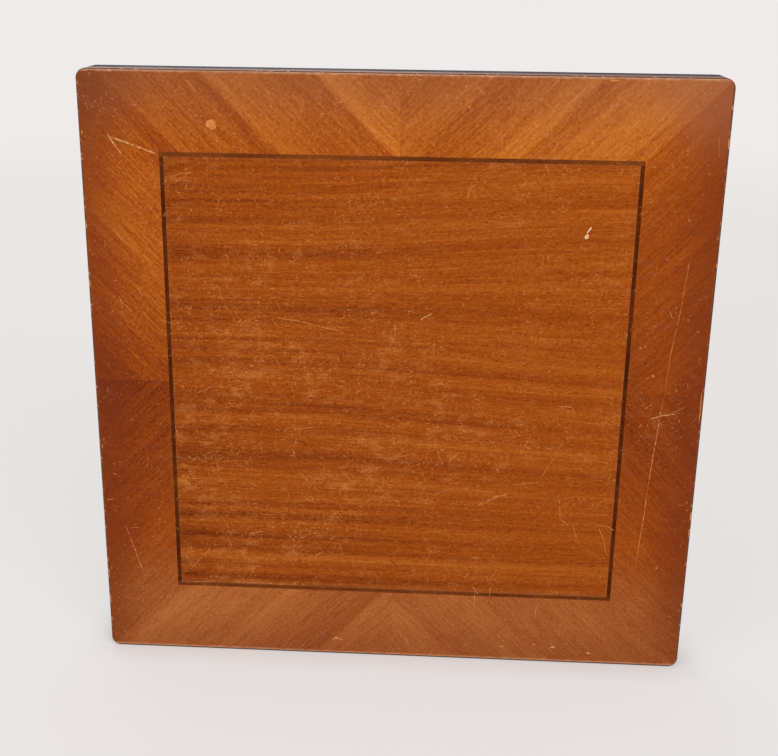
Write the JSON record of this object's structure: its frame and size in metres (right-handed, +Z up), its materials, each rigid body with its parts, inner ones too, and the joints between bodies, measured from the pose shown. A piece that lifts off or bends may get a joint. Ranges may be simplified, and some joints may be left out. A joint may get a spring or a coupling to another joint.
{
  "type": "folding card table",
  "caption": "Square folding card table with veneered top, inlaid line and mitred border, folded and standing on its edge, with legs that swing out on slotted plates and sliding stays.",
  "frame": {"origin": "middle of the lower edge that the folded table stands on, at floor level", "axes": "+Z up, -Y out of the playing surface, +X to the right as seen facing the playing surface"},
  "size_m": [0.762, 0.057, 0.762],
  "materials": {
    "field_veneer": "satin, worn, ribbon-striped mahogany veneer",
    "border_veneer": "satin, worn, diagonal mahogany veneer",
    "stringing": "satin, dark stained line",
    "core": "raw softwood core",
    "backing": "matt, thinly sealed veneer",
    "lipping": "satin, stained edge with worn arris",
    "rail_lacquer": "dark satin lacquer",
    "leg_lacquer": "dark satin lacquer",
    "plate_steel": "dull plated steel",
    "pivot_steel": "plated steel",
    "screw_steel": "plated steel",
    "bright_steel": "bright plated steel",
    "bush_brass": "plain brass"
  },
  "bodies": {
    "table": {"field_veneer": "field_veneer", "stringing": "stringing", "border_veneer_right_upper": "border_veneer", "border_veneer_right_lower": "border_veneer", "border_veneer_upper_left": "border_veneer", "border_veneer_upper_right": "border_veneer", "border_veneer_left_lower": "border_veneer", "border_veneer_left_upper": "border_veneer", "border_veneer_lower_right": "border_veneer", "border_veneer_lower_left": "border_veneer", "top_core": "core", "backing_veneer": "backing", "lipping_right": "lipping", "lipping_upper": "lipping", "lipping_left": "lipping", "lipping_lower": "lipping", "rail_right": "rail_lacquer", "rail_upper": "rail_lacquer", "rail_left": "rail_lacquer", "rail_lower": "rail_lacquer", "corner_keys": "rail_lacquer", "rail_screws": "screw_steel", "plate_screws": "screw_steel", "leg_plate_right": "plate_steel", "leg_plate_upper": "plate_steel", "leg_plate_left": "plate_steel", "leg_plate_lower": "plate_steel", "pivot_studs": "pivot_steel", "pivot_spacers": "pivot_steel", "pivot_washers": "pivot_steel", "pivot_nuts": "pivot_steel"},
    "folding_leg_right": {"leg_right": "leg_lacquer", "leg_bush_right": "bush_brass", "foot_glide_right": "bright_steel", "stay_screw_right": "screw_steel", "stay_washer_right": "pivot_steel"},
    "sliding_stay_right": {"stay_right": "plate_steel", "slide_pin_right": "bright_steel"},
    "folding_leg_upper": {"leg_upper": "leg_lacquer", "leg_bush_upper": "bush_brass", "foot_glide_upper": "bright_steel", "stay_screw_upper": "screw_steel", "stay_washer_upper": "pivot_steel"},
    "sliding_stay_upper": {"stay_upper": "plate_steel", "slide_pin_upper": "bright_steel"},
    "folding_leg_left": {"leg_left": "leg_lacquer", "leg_bush_left": "bush_brass", "foot_glide_left": "bright_steel", "stay_screw_left": "screw_steel", "stay_washer_left": "pivot_steel"},
    "sliding_stay_left": {"stay_left": "plate_steel", "slide_pin_left": "bright_steel"},
    "folding_leg_lower": {"leg_lower": "leg_lacquer", "leg_bush_lower": "bush_brass", "foot_glide_lower": "bright_steel", "stay_screw_lower": "screw_steel", "stay_washer_lower": "pivot_steel"},
    "sliding_stay_lower": {"stay_lower": "plate_steel", "slide_pin_lower": "bright_steel"}
  },
  "joints": [
    {"name": "leg_fold_right", "type": "hinge", "parent": "table", "child": "folding_leg_right", "pos_m": [0.343, 0.0065, 0.7295], "axis": [1, 0, 0], "range_deg": [0, 90]},
    {"name": "stay_swing_right", "type": "hinge", "parent": "folding_leg_right", "child": "sliding_stay_right", "pos_m": [0.3599, 0.0025, 0.6255], "axis": [1, 0, 0], "range_deg": [-135, 0]},
    {"name": "leg_fold_upper", "type": "hinge", "parent": "table", "child": "folding_leg_upper", "pos_m": [-0.3485, 0.0065, 0.724], "axis": [0, 0, 1], "range_deg": [0, 90]},
    {"name": "stay_swing_upper", "type": "hinge", "parent": "folding_leg_upper", "child": "sliding_stay_upper", "pos_m": [-0.2445, 0.0025, 0.7409], "axis": [0, 0, 1], "range_deg": [-135, 0]},
    {"name": "leg_fold_left", "type": "hinge", "parent": "table", "child": "folding_leg_left", "pos_m": [-0.343, 0.0065, 0.0325], "axis": [-1, 0, 0], "range_deg": [0, 90]},
    {"name": "stay_swing_left", "type": "hinge", "parent": "folding_leg_left", "child": "sliding_stay_left", "pos_m": [-0.3599, 0.0025, 0.1365], "axis": [-1, 0, 0], "range_deg": [-135, 0]},
    {"name": "leg_fold_lower", "type": "hinge", "parent": "table", "child": "folding_leg_lower", "pos_m": [0.3485, 0.0065, 0.038], "axis": [0, 0, -1], "range_deg": [0, 90]},
    {"name": "stay_swing_lower", "type": "hinge", "parent": "folding_leg_lower", "child": "sliding_stay_lower", "pos_m": [0.2445, 0.0025, 0.0211], "axis": [0, 0, -1], "range_deg": [-135, 0]}
  ],
  "couplings": [
    {"joint": "stay_swing_right", "follows": "leg_fold_right", "ratio": -1.5},
    {"joint": "stay_swing_upper", "follows": "leg_fold_upper", "ratio": -1.5},
    {"joint": "stay_swing_left", "follows": "leg_fold_left", "ratio": -1.5},
    {"joint": "stay_swing_lower", "follows": "leg_fold_lower", "ratio": -1.5}
  ]
}
